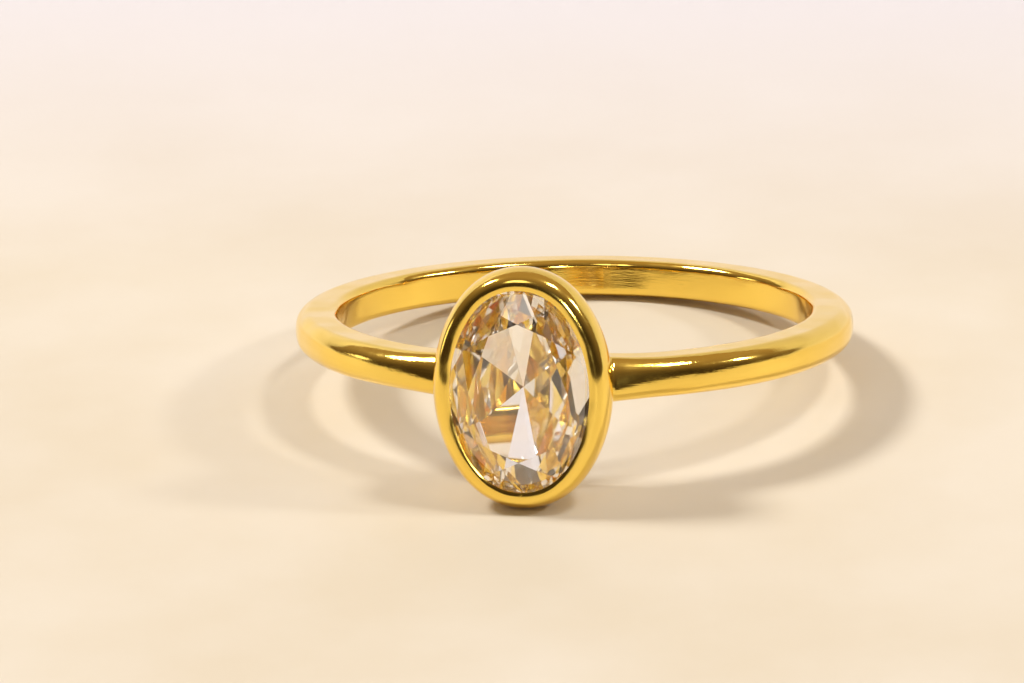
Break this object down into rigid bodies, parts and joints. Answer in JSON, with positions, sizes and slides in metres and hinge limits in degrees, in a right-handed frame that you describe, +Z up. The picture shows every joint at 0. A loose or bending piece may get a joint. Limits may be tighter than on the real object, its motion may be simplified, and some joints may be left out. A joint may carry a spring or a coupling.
{
  "type": "bezel set ring",
  "caption": "Finger ring with a smooth oval bezel cup that holds a faceted oval stone on a plain rounded band.",
  "frame": {"origin": "on the table, under the middle of the ring's box, as the ring rests by itself on the lower edge of its bezel and the back of its band", "axes": "+Z up, -Y the way the stone faces, X across the finger hole; the finger's axis leans back from +Z by the rest angle, about 9.7 degrees towards +Y"},
  "size_m": [0.0186, 0.0204, 0.0076],
  "materials": {
    "gold": "polished yellow gold plate",
    "stone": "clear, cut and polished"
  },
  "bodies": {
    "root": {"band_and_bezel": "gold", "stone": "stone"}
  },
  "joints": []
}
